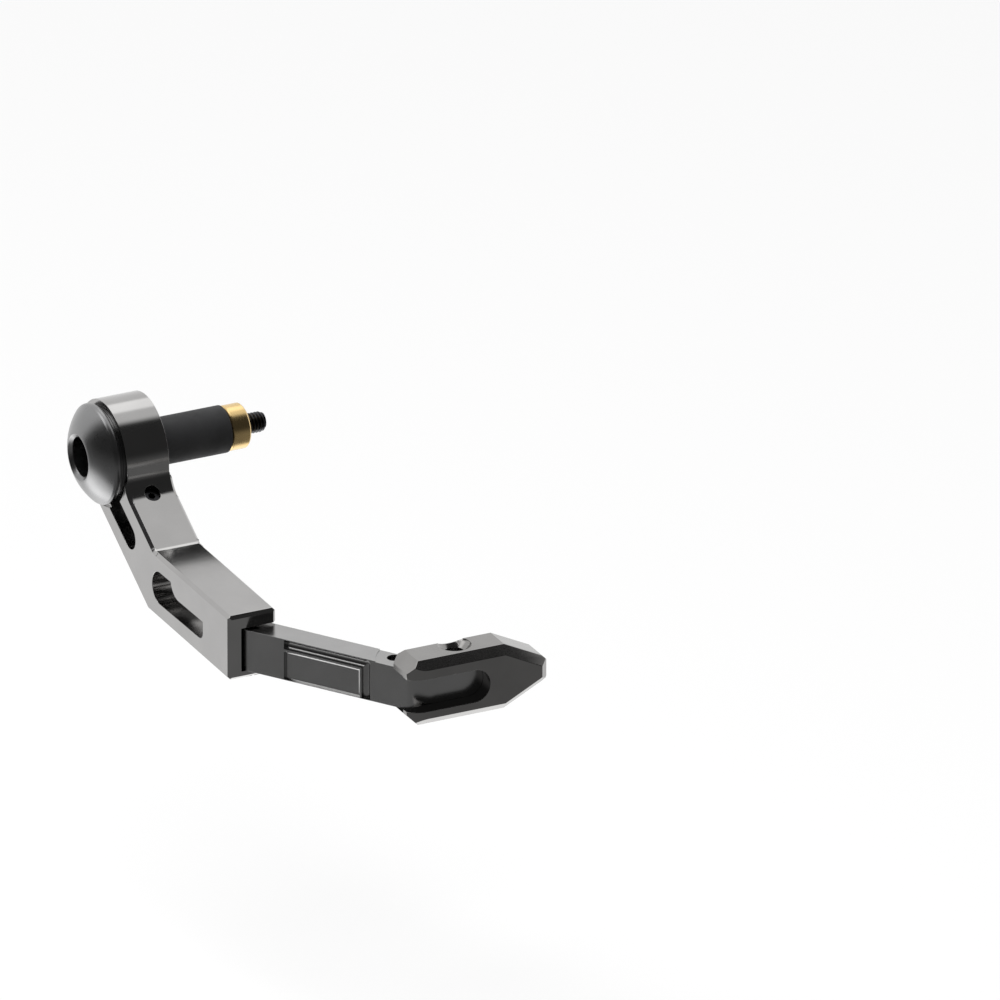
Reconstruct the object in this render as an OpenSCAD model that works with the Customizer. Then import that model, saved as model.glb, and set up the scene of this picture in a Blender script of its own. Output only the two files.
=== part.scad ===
// Brake lever guard that clamps to a handlebar end.
// x runs inward along the bar from its end plane, -y is forward, z is up.
// In the profiles, f is the distance forward of the bar axis.

/* [Bar end] */
// Radius of the relaxed rubber bung that goes into the bar
bung_r = 6.9; // [6:0.1:8.5]
// Length of the rubber bung
bung_len = 24; // [18:1:36]
// Radius of the round hub that the ring clamps
hub_r = 12.95; // [12:0.05:14]
// Largest radius of the domed head
cap_r = 14.7; // [14.2:0.1:15.4]
// Sphere radius of the dome
dome_r = 20.2; // [18:0.1:24]
// Radius that rounds the rim of the dome
cap_round = 1.6; // [1:0.1:2]
// Radius of the mouth in the dome
mouth_r = 6.8; // [6.6:0.1:8]
// Radius of the counterbore for the bolt head
cap_bore_r = 5.75; // [5.2:0.05:6.4]
// Distance from the arm's outer face to the seat of the bolt head
cap_seat = 6; // [4:0.5:8]

/* [Arm] */
// Width of the arm along the bar
arm_w = 15; // [13:0.5:18]
// Wall of the clamp ring
ring_wall = 2.5; // [2:0.1:4]
// Depth of the turned relief round the ring's outer face
relief = 0.8; // [0.4:0.1:1.2]
// Depth of the turned relief round the ring's inner face
inner_relief = 1; // [0.6:0.1:1.4]
// Downward slope of the first stretch, in degrees
arm_slope = 31.5; // [25:0.5:38]
// Height of the first stretch above the line of the bar axis
arm_rise = 3.4; // [2.8:0.1:5]
// Downward slope of the second stretch, in degrees
rail_slope = 1.05; // [0.5:0.05:2]
// Depth of the second stretch's top edge below the bar axis, at its front end
rail_drop = 17.8; // [15:0.1:22]
// Height of the second stretch and of the tip
rail_h = 19.8; // [19:0.1:24]
// Distance from the bar axis to the arm's front end
arm_reach = 82.9; // [78:0.1:95]
// Chamfer along the arm's edges
arm_bevel = 0.95; // [0.5:0.05:1.4]
// Radius where the ring runs into the arm's top
ring_fillet = 8; // [6:0.5:10]
// Radius in the top bend
bend_fillet = 3.3; // [1:0.1:5]
// Radius of the lower bend
heel_r = 10; // [4:0.5:14]
// Width of the clamping slot
slot_w = 7.4; // [5:0.2:8]
// Thickness of the arm under the clamping slot
slot_wall = 5.6; // [4.5:0.1:7]
// Distance from the bar axis to the centre of the slot's round end
slot_reach = 25.5; // [24:0.5:28]

/* [Arm window] */
// Distance from the bar axis to the centre of the window's round end
window_f = 38; // [37:0.5:42]
// Height of the tall part of the window
window_h = 9.8; // [8:0.2:11]
// Height of the narrow part of the window
window_narrow = 5.8; // [4:0.2:7]
// Material left under the window
window_floor = 5.8; // [4.5:0.1:7]
// Distance from the bar axis to the step of the window
window_step = 50.2; // [48:0.2:54]
// Radius of the step
step_r = 5.2; // [4:0.2:7]
// Wall between the window and the pocket for the link
window_wall = 2.4; // [2:0.1:4]
// Radius in the corner of the window
window_corner = 2.6; // [1:0.1:2.8]

/* [Link] */
// Thickness of the link
link_t = 8; // [6.5:0.1:8.6]
// Height of the link
link_h = 12.6; // [11:0.1:13]
// Angle of the blade to the bar, in degrees
link_angle = 56.6; // [50:0.2:62]
// Length of the blade between its two corners
blade_len = 59.3; // [55:0.1:70]
// Length of the tongue in the arm
heel_len = 14.4; // [13.5:0.1:16]
// Length of the tongue in the tip, from the corner
toe_len = 23; // [19:0.5:25]
// Outer radius of the corner at the arm
heel_round = 11; // [8:0.5:13]
// Outer radius of the corner at the tip
toe_round = 8.5; // [6:0.5:10]
// Thickness of the arm's roof over the link
arm_roof = 4.3; // [3.5:0.1:5]
// Thickness of the arm's cheek outside the link
cheek = 4; // [3:0.1:5]
// Distance from the first corner to the recessed panel
panel_start = 14.6; // [11:0.1:18]
// Length of the recessed panel
panel_len = 24.8; // [18:0.2:27]
// Depth of the recessed panel
panel_depth = 0.9; // [0.6:0.1:1.8]
// Radius of the groove over the panel and down its far end
groove_r = 1.4; // [1:0.1:1.6]
// Depth of the step round the tip screw
step_depth = 0.3; // [0.1:0.1:0.5]
// Radius of the step round the tip screw
step_sweep = 22.3; // [20:0.1:24]
// Distance between the tip screw and the spare tapped hole
spare_pitch = 17.1; // [15.5:0.1:18]

/* [Tip] */
// Length of the tip
tip_len = 43.85; // [40:0.5:52]
// Depth of the tip from front to back
tip_depth = 13.4; // [12.5:0.1:16]
// Thickness of the tip's front wall
tip_wall = 4.75; // [4:0.05:5.5]
// Bevel round the tip's front and back faces
tip_bevel = 2.45; // [1.5:0.05:2.6]
// Overhang of the tip past the link's corner
tip_lap = 5.5; // [4:0.1:7]
// Bevel at the tip's near end
tip_facet = 3.5; // [2:0.1:4]
// Length of the sloping nose
nose_len = 13.4; // [10:0.2:16]
// Slope of the nose, in degrees
nose_slope = 26.5; // [20:0.5:30]
// Bevel at the end of the nose
nose_bevel = 1.4; // [0.8:0.1:2]
// Radius of the tip's near corners, seen from above
tip_round = 8.5; // [5:0.5:9]
// Height of the window in the tip's front
port_h = 9.9; // [8:0.1:10.4]
// Length of the window in the tip's front
port_len = 25.1; // [20:0.1:28]

/* [Fasteners and clearances] */
// Length of the end cap's bolt under its head
bolt_len = 45; // [40:1:60]
// Length of the clamp screw under its head
clamp_screw_len = 14; // [11:0.5:15]
// Length of the tip's screw, with its head
tip_screw_len = 12; // [8:0.5:14]
// Length of the screws that hold the link in the arm, with their heads
link_screw_len = 12; // [8:0.5:14]
// Running clearance between the hub and the ring
run_gap = 0.05; // [0.02:0.01:0.1]
// Gap between faces that seat on each other
seat_gap = 0.05; // [0.02:0.01:0.1]
// Gap beside a screw's shank in its tapped hole
thread_gap = 0.03; // [0.01:0.01:0.06]
// Gap beside a screw in its clearance hole
shank_gap = 0.2; // [0.1:0.05:0.3]
// Gap between the ring and the bar end
end_gap = 0.3; // [0.2:0.1:0.6]
// Gap between the link and the arm's roof
roof_gap = 0.5; // [0.3:0.1:0.8]
// Gap between the dome and the arm's outer face
dome_gap = 0.5; // [0.3:0.1:0.8]

/* [Hidden] */
$fn = 96;
over = 1;

// Screw sizes: shank radius, head radius, head height and socket across flats
M25_CAP = [1.25, 2.25, 2.5, 2];
M6_CAP = [3, 5, 6, 5];
M3_SUNK = [1.5, 3, 1.5, 2];
M5_SUNK = [2.5, 4.6, 2.1, 3];
m5_drill_r = 2.1;
sunk_land = 0.25;
sunk_gap = 0.15;
sunk_below = 0.1;
head_edge = 0.3;

// The arm: x_out is its outer face, and ring_r the outer radius of its ring
x_out = -(arm_w - inner_relief + end_gap);
ring_bore = hub_r + run_gap;
ring_r = ring_bore + ring_wall;
relief_r = ring_r + 0.3;
rail_top = -rail_drop;
rail_bottom = rail_top - rail_h;

// Profiles give points as [f, z], and slope coordinates as [along, across]
function on_slope(t, n) = [t * cos(arm_slope) + n * sin(arm_slope),
                           -t * sin(arm_slope) + n * cos(arm_slope)];
// How far the second stretch has risen at f, going back from its front end
function rise_at(f) = (arm_reach - f) * tan(rail_slope);
// Distance along the slope at which height n meets the stretch that ends at level z
function bend_at(n, z) = (n * cos(arm_slope) - z - rise_at(n * sin(arm_slope)))
    / (sin(arm_slope) - cos(arm_slope) * tan(rail_slope));
top_bend = on_slope(bend_at(arm_rise, rail_top), arm_rise);
heel_bend = on_slope(bend_at(-ring_r, rail_bottom), -ring_r);
rail_dir = [cos(rail_slope), -sin(rail_slope)];
// Where the bevel underneath starts along the slope
low_bevel_t = 5;
// How far the bevel of an arc runs on along the straight faces beside it
bevel_lap = 0.5;

// The centres of the two fillets on the arm's top, and where they touch its straight faces
fillet_n = arm_rise + ring_fillet;
fillet_t = sqrt(pow(ring_r + ring_fillet, 2) - pow(fillet_n, 2));
fillet_at = on_slope(fillet_t, fillet_n);
bend_half = (180 - arm_slope + rail_slope) / 2;
bend_touch = bend_fillet / tan(bend_half);
bend_t = bend_at(arm_rise, rail_top) - bend_touch;
bend_centre = on_slope(bend_t, arm_rise + bend_fillet);
bend_foot = top_bend + bend_touch * rail_dir;

// The end cap
rim_land = 1;
rim_x = x_out - dome_gap - rim_land;
dome_c = rim_x + sqrt(pow(dome_r - cap_round, 2) - pow(cap_r - cap_round, 2));
mouth_x = dome_c - sqrt(pow(dome_r, 2) - pow(mouth_r, 2));
mouth_bevel = mouth_r - cap_bore_r;
seat_x = x_out + cap_seat;
nut_cone = 6;
nut_body = 6;
nut_edge = 0.6;
nut_x = bung_len - nut_cone;
nut_r = bung_r - 0.3;
nut_nose_r = M6_CAP[0] + 1.2;

// The clamp screw stands across the slot
screw_t = 19;
screw_depth = 3.6;
screw_seat = arm_rise - screw_depth;
slot_low = -ring_r + slot_wall;

// The link's corners as [x, f], seen from above
pocket_roof = rail_top - arm_roof;
link_top = pocket_roof - roof_gap;
link_bottom = link_top - link_h;
heel_x = x_out + cheek + 2 * seat_gap;
heel_back = arm_reach - heel_len;
heel_inset = 1.6;
heel_corner = [heel_x, arm_reach - heel_inset];
blade_dir = [cos(link_angle), sin(link_angle)];
toe_corner = heel_corner + blade_len * blade_dir;
toe_end = toe_corner[0] + toe_len;
// How far the back corner lies along a tongue from the front one
heel_shift = link_t * tan((90 - link_angle) / 2);
toe_shift = link_t * tan(link_angle / 2);
tongue_r = 2.5;
pocket_f = heel_back - 2 * seat_gap;
window_end = pocket_f - window_wall;
window_low = rail_bottom + window_floor;
floor_z = link_bottom - seat_gap;
link_screw_in = 3.5;
link_screw_back = heel_back + link_screw_in;
link_screw_pitch = 6.8;
link_screw_f = [link_screw_back, link_screw_back + link_screw_pitch];
link_screw_x = heel_x + link_t / 2;

// The panel: land above its groove, width of its ridge, land below it and its lower slope
groove_top = 0.3;
ridge_w = 0.6;
panel_foot = 0.1;
panel_slope = 0.45;
// How much wider the ball at the groove's corner is cut
groove_ball = 0.1;

// The tip
tip_x = toe_corner[0] - tip_lap;
tip_end = tip_x + tip_len;
tip_front = toe_corner[1] + seat_gap + tip_wall;
tip_back = tip_front - tip_depth;
tip_mid = rail_top - rail_h / 2;
roof_z = link_top - step_depth + seat_gap;
tip_screw_in = 12.4;
tip_screw_back = 3.5;
tip_screw_at = toe_corner + [tip_screw_in, -tip_screw_back];
spare_turn = 32.9;
spare_at = tip_screw_at - spare_pitch * [cos(spare_turn), sin(spare_turn)];
round_in = 6;
port_low = 0.3;
port_z = tip_mid - port_low;
slot_corner = 1.5;

// Solids drawn from a profile in [f, z], [x, f] or [x, z]
module side_slab(x, w) {
    translate([x + w, 0, 0]) rotate([90, 0, -90]) linear_extrude(w) children();
}

module plan_slab(z, h) {
    translate([0, 0, z]) mirror([0, 1, 0]) linear_extrude(h) children();
}

module front_slab(f, depth) {
    translate([0, -f, 0]) rotate([90, 0, 0]) linear_extrude(depth) children();
}

// Turns a profile in [radius, x] about the bar axis
module turned() {
    rotate([0, 90, 0]) rotate_extrude() children();
}

// The piece between a corner and the arc that rounds it. The corner is at p, and
// u and v point from it along its two edges
module corner_piece(p, u, v, r) {
    half = acos(u * v) / 2;
    tangent = r / tan(half);
    middle = (u + v) / norm(u + v);
    difference() {
        polygon([p - 0.2 * middle, p + tangent * u, p + r / sin(half) * middle, p + tangent * v]);
        translate(p + r / sin(half) * middle) circle(r);
    }
}

function unit(v) = v / norm(v);

// A socket screw with its head's underside at the origin, pointing down
module cap_screw(size, len) {
    difference() {
        union() {
            translate([0, 0, -len]) cylinder(r = size[0], h = len + 0.1);
            cylinder(r = size[1], h = size[2] - head_edge);
            translate([0, 0, size[2] - head_edge])
                cylinder(r1 = size[1], r2 = size[1] - head_edge, h = head_edge);
        }
        translate([0, 0, size[2] / 2]) hex_socket(size[3], size[2]);
    }
}

// A countersunk socket screw with the top of its head at the origin, pointing down
module sunk_screw(size, len) {
    cone = size[1] - size[0];
    difference() {
        union() {
            translate([0, 0, -sunk_land]) cylinder(r = size[1], h = sunk_land);
            translate([0, 0, -sunk_land - cone]) cylinder(r1 = size[0], r2 = size[1], h = cone);
            translate([0, 0, -len]) cylinder(r = size[0], h = len - cone - sunk_land + 0.1);
        }
        translate([0, 0, -size[2] * 0.8]) hex_socket(size[3], size[2]);
    }
}

module hex_socket(flats, depth) {
    cylinder(r = flats / 2 / cos(30), h = depth + over, $fn = 6);
}

// The seat that a countersunk head lies in, with the surface at the origin
module sunk_seat(size, depth) {
    mouth = size[1] + sunk_gap;
    hole = size[0] + shank_gap;
    cone = mouth - hole;
    translate([0, 0, -sunk_land]) cylinder(r = mouth, h = sunk_land + over);
    translate([0, 0, -sunk_land - cone]) cylinder(r1 = hole, r2 = mouth, h = cone);
    translate([0, 0, -depth]) cylinder(r = hole, h = depth);
}

module end_cap() {
    color("#4a4c4f") turned() difference() {
        union() {
            translate([0, x_out - dome_gap]) square([hub_r, -(x_out - dome_gap)]);
            dome_profile();
        }
        translate([-over, seat_x]) square([over + M6_CAP[0] + shank_gap, over - seat_x]);
        translate([-over, mouth_x - over]) square([over + cap_bore_r, seat_x - mouth_x + over]);
        polygon([[0, mouth_x - over], [mouth_r + over, mouth_x - over], [mouth_r, mouth_x],
                 [cap_bore_r, mouth_x + mouth_bevel], [0, mouth_x + mouth_bevel]]);
    }
}

// Half of the dome's section: the round crown, cut at its mouth, and the rounded rim
module dome_profile() {
    rim = cap_r - cap_round;
    touch = (dome_c - rim_x) / (dome_r - cap_round);
    intersection() {
        translate([0, dome_c]) circle(dome_r, $fn = 240);
        translate([0, mouth_x]) square([rim + cap_round * sqrt(1 - touch * touch), -mouth_x + rim_x]);
    }
    intersection() {
        translate([rim, rim_x]) circle(cap_round);
        translate([0, mouth_x]) square([cap_r + over, x_out - dome_gap - mouth_x]);
    }
    translate([0, rim_x]) square([rim, x_out - dome_gap - rim_x]);
}

module cap_bolt() {
    color("#26272a") translate([seat_x - seat_gap, 0, 0]) rotate([0, -90, 0])
        cap_screw(M6_CAP, bolt_len);
}

module expander_bung() {
    color("#1b1b1c") turned() difference() {
        square([bung_r, bung_len]);
        translate([-over, -over]) square([over + M6_CAP[0] + shank_gap, bung_len + 2 * over]);
        polygon([[0, nut_x], [nut_nose_r + seat_gap, nut_x],
                 [nut_r - nut_edge + seat_gap, bung_len], [nut_r, bung_len + over],
                 [0, bung_len + over]]);
    }
}

module cone_nut() {
    color("#b08d4a") turned() difference() {
        translate([0, nut_x + 3 * seat_gap])
            polygon([[0, 0], [nut_nose_r, 0], [nut_r - nut_edge, nut_cone],
                     [nut_r, nut_cone + nut_edge], [nut_r, nut_cone + nut_body - nut_edge],
                     [nut_r - nut_edge, nut_cone + nut_body], [0, nut_cone + nut_body]]);
        translate([-over, 0]) square([over + M6_CAP[0] + thread_gap, bung_len + nut_body + 2 * over]);
    }
}

// The arm seen from the side, without its ring
module arm_outline() {
    c = arm_bevel;
    back = on_slope(0, arm_rise);
    difference() {
        union() {
            polygon([back, top_bend, [arm_reach - c, rail_top + rise_at(arm_reach - c)],
                     [arm_reach, rail_top - c], [arm_reach, rail_bottom + c],
                     [arm_reach - c, rail_bottom + rise_at(arm_reach - c)],
                     heel_bend, on_slope(0, -ring_r)]);
            corner_piece(top_bend, unit(back - top_bend), rail_dir, bend_fillet);
        }
        corner_piece(heel_bend, rail_dir, unit(on_slope(0, -ring_r) - heel_bend), heel_r);
    }
}

// The piece between the ring and the arm's top, rounded by the fillet
module ring_web() {
    difference() {
        polygon([[0, 0], fillet_at * ring_r / (ring_r + ring_fillet), fillet_at,
                 on_slope(fillet_t, arm_rise - over)]);
        translate(fillet_at) circle(ring_fillet);
    }
}

// Cuts the bevel along the edge from p to q, whose inner line runs from p_in to q_in. The
// mitres at its ends run on past that line, where the bevel has left the arm
module edge_bevel(p, q, p_in, q_in) {
    c = arm_bevel;
    out = unit([p[1] - q[1], q[0] - p[0]]) * sign((p - p_in) * [p[1] - q[1], q[0] - p[0]]);
    turn = atan2(out[1], out[0]);
    intersection() {
        side_slab(x_out - over, arm_w + 2 * over)
            polygon([2 * p - p_in, 2 * q - q_in, 2 * q_in - q, 2 * p_in - p]);
        for (face = [[x_out, 1], [x_out + arm_w, -1]])
            translate([face[0], -p[0], p[1]]) rotate([-turn, 0, 0]) {
                // Across the edge, local -y points out of the arm
                translate([0, 0, -arm_reach]) linear_extrude(2 * arm_reach)
                    polygon([[-face[1] * over, c + over], [face[1] * (c + over), -over],
                             [-face[1] * over, -over]]);
            }
    }
}

// Cuts the bevel along the arc of radius r about at, inside the outline given
module round_bevel(at, r, outline) {
    c = arm_bevel;
    intersection() {
        side_slab(x_out - over, arm_w + 2 * over) polygon(outline);
        for (face = [[x_out, 1], [x_out + arm_w, -1]])
            translate([face[0] - face[1] * over, -at[0], at[1]]) rotate([0, 90 * face[1], 0])
                cylinder(r1 = r + c + over, r2 = r, h = c + over);
    }
}

module arm_bevels() {
    c = arm_bevel;
    across = c / cos(rail_slope);
    fall = c * tan(rail_slope);
    web_t = fillet_t + bevel_lap;
    back_t = bend_t - bevel_lap;
    web_end = web_t + bevel_lap;
    back_end = back_t - bevel_lap;
    rail_up = [-rail_dir[1], rail_dir[0]];
    rail_foot = bend_foot + bevel_lap * rail_dir;
    rail_end = rail_foot + bevel_lap * rail_dir;
    low_in = on_slope(bend_at(-ring_r + c, rail_bottom + across), -ring_r + c);
    front_top = [arm_reach, rail_top];
    front_low = [arm_reach, rail_bottom];
    front_top_in = [arm_reach - c, rail_top + fall - across];
    front_low_in = [arm_reach - c, rail_bottom + fall + across];
    round_bevel(fillet_at, ring_fillet,
                [fillet_at, on_slope(web_end, fillet_n), on_slope(web_end, 0), [0, 0]]);
    edge_bevel(on_slope(web_t, arm_rise), on_slope(back_t, arm_rise),
               on_slope(web_t, arm_rise - c), on_slope(back_t, arm_rise - c));
    round_bevel(bend_centre, bend_fillet,
                [on_slope(back_end, arm_rise + bend_fillet), on_slope(back_end, arm_rise - 2 * c),
                 rail_end - 2 * c * rail_up, rail_end + bend_fillet * rail_up]);
    edge_bevel(rail_foot, front_top, rail_foot - c * rail_up, front_top_in);
    edge_bevel(front_top, front_low, front_top_in, front_low_in);
    edge_bevel(heel_bend, front_low, low_in, front_low_in);
    edge_bevel(on_slope(low_bevel_t, -ring_r), heel_bend,
               on_slope(low_bevel_t + c, -ring_r + c), low_in);
}

// The window: a tall round end that steps down to a narrow slot
module window_outline() {
    difference() {
        union() {
            translate([window_f, window_low + window_h / 2]) circle(window_h / 2);
            translate([window_f, window_low]) square([window_step - window_f, window_h]);
            translate([window_f, window_low]) square([window_end - window_f, window_narrow]);
        }
        translate([window_step, window_low + window_narrow + step_r]) circle(step_r);
        translate([window_step, window_low + window_narrow]) square([over, window_h]);
        corner_piece([window_end, window_low], [-1, 0], [0, 1], window_corner);
    }
}

module clamp_slot() {
    rotate(-arm_slope) {
        translate([ring_bore / 2, slot_low]) square([slot_reach - ring_bore / 2, slot_w]);
        translate([slot_reach, slot_low + slot_w / 2]) circle(slot_w / 2);
    }
}

// Puts its children on the clamp screw's axis, with the head's seat at the origin
module at_clamp_screw() {
    seat = on_slope(screw_t, screw_seat);
    translate([x_out + arm_w / 2, -seat[0], seat[1]]) rotate([arm_slope, 0, 0]) children();
}

// Puts its children on a link screw's axis, with the top of its head at the origin
module at_link_screw(f) {
    translate([link_screw_x, -f, rail_bottom + rise_at(f) + sunk_below])
        mirror([0, 0, 1]) children();
}

module arm_bracket() {
    color("#8d8f92") difference() {
        union() {
            side_slab(x_out, arm_w) circle(ring_r);
            side_slab(x_out, arm_w) arm_outline();
            side_slab(x_out, arm_w) ring_web();
        }
        arm_bevels();
        side_slab(x_out - over, arm_w + 2 * over) {
            circle(ring_bore);
            clamp_slot();
            window_outline();
        }
        side_slab(x_out - over, relief + over) circle(relief_r);
        side_slab(x_out + arm_w - inner_relief, inner_relief + over) circle(relief_r);
        // The pocket that holds the link, open at the front and on the inner side
        translate([x_out + cheek, -arm_reach - over, floor_z])
            cube([arm_w, arm_reach - pocket_f + over, pocket_roof - floor_z]);
        at_clamp_screw() {
            cylinder(r = M25_CAP[1] + shank_gap / 2, h = ring_r);
            translate([0, 0, slot_low - screw_seat]) cylinder(r = M25_CAP[0] + shank_gap, h = ring_r);
            translate([0, 0, -ring_r - screw_seat - over])
                cylinder(r = M25_CAP[0] + thread_gap, h = ring_r);
        }
        for (f = link_screw_f)
            at_link_screw(f) sunk_seat(M3_SUNK, rail_h / 3);
    }
}

module clamp_screw() {
    color("#26272a") at_clamp_screw() translate([0, 0, seat_gap]) cap_screw(M25_CAP, clamp_screw_len);
}

// The link seen from above: two tongues joined by the slanting blade
module link_outline() {
    heel_in = heel_corner + [link_t, -heel_shift];
    toe_in = toe_corner + [toe_shift, -link_t];
    difference() {
        polygon([[heel_x, heel_back], heel_corner, toe_corner, [toe_end, toe_corner[1]],
                 [toe_end, toe_corner[1] - link_t], toe_in, heel_in, [heel_in[0], heel_back]]);
        corner_piece(heel_corner, [0, -1], blade_dir, heel_round);
        corner_piece(toe_corner, [1, 0], -blade_dir, toe_round);
        corner_piece([toe_end, toe_corner[1]], [-1, 0], [0, -1], tongue_r);
        corner_piece([toe_end, toe_corner[1] - link_t], [-1, 0], [0, 1], tongue_r);
    }
}

// The panel's section, as [depth, height below the top]: a flat panel with a round corner
// under its ridge, which slopes out at the bottom
module panel_section() {
    ridge = groove_top + 2 * groove_r + ridge_w;
    foot = -link_h + panel_foot;
    low = foot + panel_depth * panel_slope;
    translate([0, -ridge - panel_depth]) circle(panel_depth);
    translate([-over, low]) square([over + panel_depth, -ridge - panel_depth - low]);
    polygon([[-over, low + over], [panel_depth, low + over], [panel_depth, low], [0, foot],
             [-over, foot]]);
}

// The panel from above, with the same round corner at its far end
module panel_plan() {
    middle = panel_start + panel_len - panel_depth;
    translate([middle, 0]) circle(panel_depth);
    translate([panel_start - over, -over]) square([middle - panel_start + over, over + panel_depth]);
    translate([middle - over, -over]) square([2 * over + panel_depth, over]);
}

// The panel, and the groove that runs over it and turns down at its far end
module panel_cut() {
    groove_z = -groove_top - groove_r;
    groove_s = panel_start + panel_len + ridge_w + groove_r;
    translate([heel_corner[0], -heel_corner[1], link_top]) rotate([0, 0, -link_angle]) {
        intersection() {
            translate([panel_start, 0, 0]) rotate([90, 0, 90]) linear_extrude(panel_len) panel_section();
            translate([0, 0, -link_h - over]) linear_extrude(link_h + over) panel_plan();
        }
        translate([panel_start, 0, groove_z]) rotate([0, 90, 0])
            cylinder(r = groove_r, h = groove_s - panel_start);
        translate([groove_s, 0, -link_h + panel_foot])
            cylinder(r = groove_r, h = groove_z + link_h - panel_foot);
        translate([groove_s, 0, groove_z]) sphere(groove_r + groove_ball);
    }
}

module link_blade() {
    color("#3a3b3e") difference() {
        plan_slab(link_bottom, link_h) link_outline();
        panel_cut();
        translate([tip_screw_at[0], -tip_screw_at[1], link_top - step_depth])
            cylinder(r = step_sweep, h = step_depth + over);
        translate([tip_screw_at[0], -tip_screw_at[1], link_bottom - over])
            cylinder(r = M5_SUNK[0] + thread_gap, h = link_h + 2 * over);
        translate([spare_at[0], -spare_at[1], link_bottom - over])
            cylinder(r = m5_drill_r, h = link_h + 2 * over);
        for (f = link_screw_f)
            translate([link_screw_x, -f, link_bottom - over])
                cylinder(r = M3_SUNK[0] + thread_gap, h = link_screw_len + over);
    }
}

module link_screws() {
    color("#26272a") for (f = link_screw_f) at_link_screw(f) sunk_screw(M3_SUNK, link_screw_len);
}

// The tip seen from the front, with bevelled near corners and a sloping nose
module tip_outline() {
    half = rail_h / 2;
    drop = (nose_len - nose_bevel) * tan(nose_slope);
    upper = [[tip_x, half - tip_facet], [tip_x + tip_facet, half], [tip_end - nose_len, half],
             [tip_end - nose_bevel, half - drop], [tip_end, half - drop - nose_bevel]];
    lower = [for (i = [len(upper) - 1:-1:0]) [upper[i][0], -upper[i][1]]];
    translate([0, tip_mid]) polygon(concat(upper, lower));
}

// Cuts the bevel along an edge of the tip's face from p to q, at the front or the back
module tip_edge(p, q) {
    turn = atan2(q[1] - p[1], q[0] - p[0]);
    for (face = [[tip_front, 1], [tip_back, -1]])
        translate([p[0], -face[0], p[1]]) rotate([0, -turn, 0]) rotate([90, 0, 90])
            translate([0, 0, -tip_len]) linear_extrude(2 * tip_len)
                polygon([[-face[1] * over, over], [-face[1] * over, -tip_bevel - over],
                         [face[1] * (tip_bevel + over), over]]);
}

module tip_bevels() {
    half = rail_h / 2;
    drop = (nose_len - nose_bevel) * tan(nose_slope);
    for (side = [0, 1]) translate([0, 0, tip_mid]) mirror([0, 0, side]) {
        tip_edge([tip_x, half], [tip_end - nose_len, half]);
        tip_edge([tip_end - nose_len, half], [tip_end - nose_bevel, half - drop]);
    }
    translate([0, 0, tip_mid]) tip_edge([tip_end, half], [tip_end, -half]);
}

// The tip seen from above, rounded at its near end
module tip_plan() {
    difference() {
        translate([tip_x, tip_back]) square([tip_len, tip_depth]);
        for (side = [[tip_front, 1], [tip_back, -1]]) {
            middle = [tip_x + round_in, side[0] - side[1] * tip_round];
            difference() {
                translate([tip_x - over, min(side[0], middle[1])])
                    square([middle[0] - tip_x + over, tip_round]);
                translate(middle) circle(tip_round);
            }
        }
    }
}

module guard_tip() {
    slot_end = toe_end + seat_gap;
    color("#2c2d30") difference() {
        intersection() {
            front_slab(tip_back, tip_depth) tip_outline();
            plan_slab(rail_bottom, rail_h) tip_plan();
        }
        tip_bevels();
        // The slot for the link, open at the back and at the near end
        front_slab(tip_back - over, tip_depth - tip_wall + over) difference() {
            translate([tip_x - over, floor_z]) square([slot_end - tip_x + over, roof_z - floor_z]);
            corner_piece([slot_end, floor_z], [-1, 0], [0, 1], slot_corner);
            corner_piece([slot_end, roof_z], [-1, 0], [0, -1], slot_corner);
        }
        front_slab(tip_back, tip_depth + over) {
            translate([tip_x - over, port_z - port_h / 2]) square([port_len - port_h / 2 + over, port_h]);
            translate([tip_x + port_len - port_h / 2, port_z]) circle(port_h / 2);
        }
        // The tip is reversible, so both jaws are countersunk
        for (side = [0, 1])
            translate([tip_screw_at[0], -tip_screw_at[1], tip_mid]) mirror([0, 0, side])
                translate([0, 0, rail_h / 2]) sunk_seat(M5_SUNK, rail_h / 2);
    }
}

module tip_screw() {
    color("#26272a") translate([tip_screw_at[0], -tip_screw_at[1], rail_bottom]) mirror([0, 0, 1])
        sunk_screw(M5_SUNK, tip_screw_len);
}

end_cap();
cap_bolt();
expander_bung();
cone_nut();
arm_bracket();
clamp_screw();
link_blade();
link_screws();
guard_tip();
tip_screw();
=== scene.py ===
"""The looks of the brake lever guard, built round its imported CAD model.

Every piece is in metres in the CAD frame: x runs inward along the handlebar, -y points
forward and z points up. The solids keep their shapes; this script gives them their broken
edges, their knurls and threads and their finishes, and sets the studio and the camera.
"""

from __future__ import annotations

import logging
import math
from collections.abc import Callable, Iterable, Mapping
from dataclasses import dataclass, field
from enum import Enum

import bpy
from mathutils import Matrix, Vector

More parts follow.
